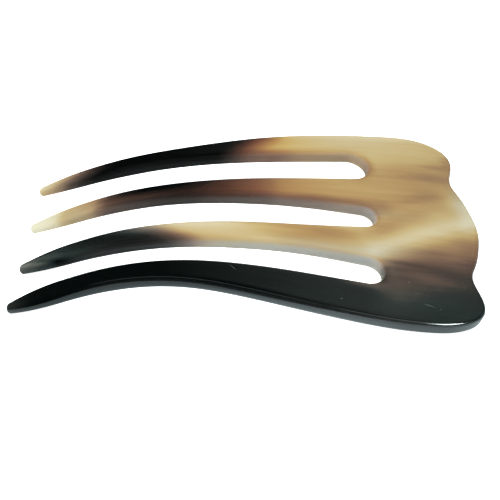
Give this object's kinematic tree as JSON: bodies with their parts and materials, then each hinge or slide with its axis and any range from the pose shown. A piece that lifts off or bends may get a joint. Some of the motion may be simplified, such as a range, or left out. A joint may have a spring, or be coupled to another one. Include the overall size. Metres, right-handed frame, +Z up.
{
  "type": "hair fork",
  "caption": "Flat hair fork with long tapering tines and a scalloped head, bent along its length to hold wound hair.",
  "frame": {"origin": "under the middle of the fork's box, on the surface that it rests on", "axes": "+X from the tips to the head, +Y across the tines, +Z up from the surface that the tips and the head's end rest on"},
  "size_m": [0.1202, 0.0676, 0.0145],
  "materials": {
    "horn": "polished natural horn, black and dark brown running into golden tan and cream"
  },
  "bodies": {
    "root": {"horn_fork": "horn"}
  },
  "joints": []
}
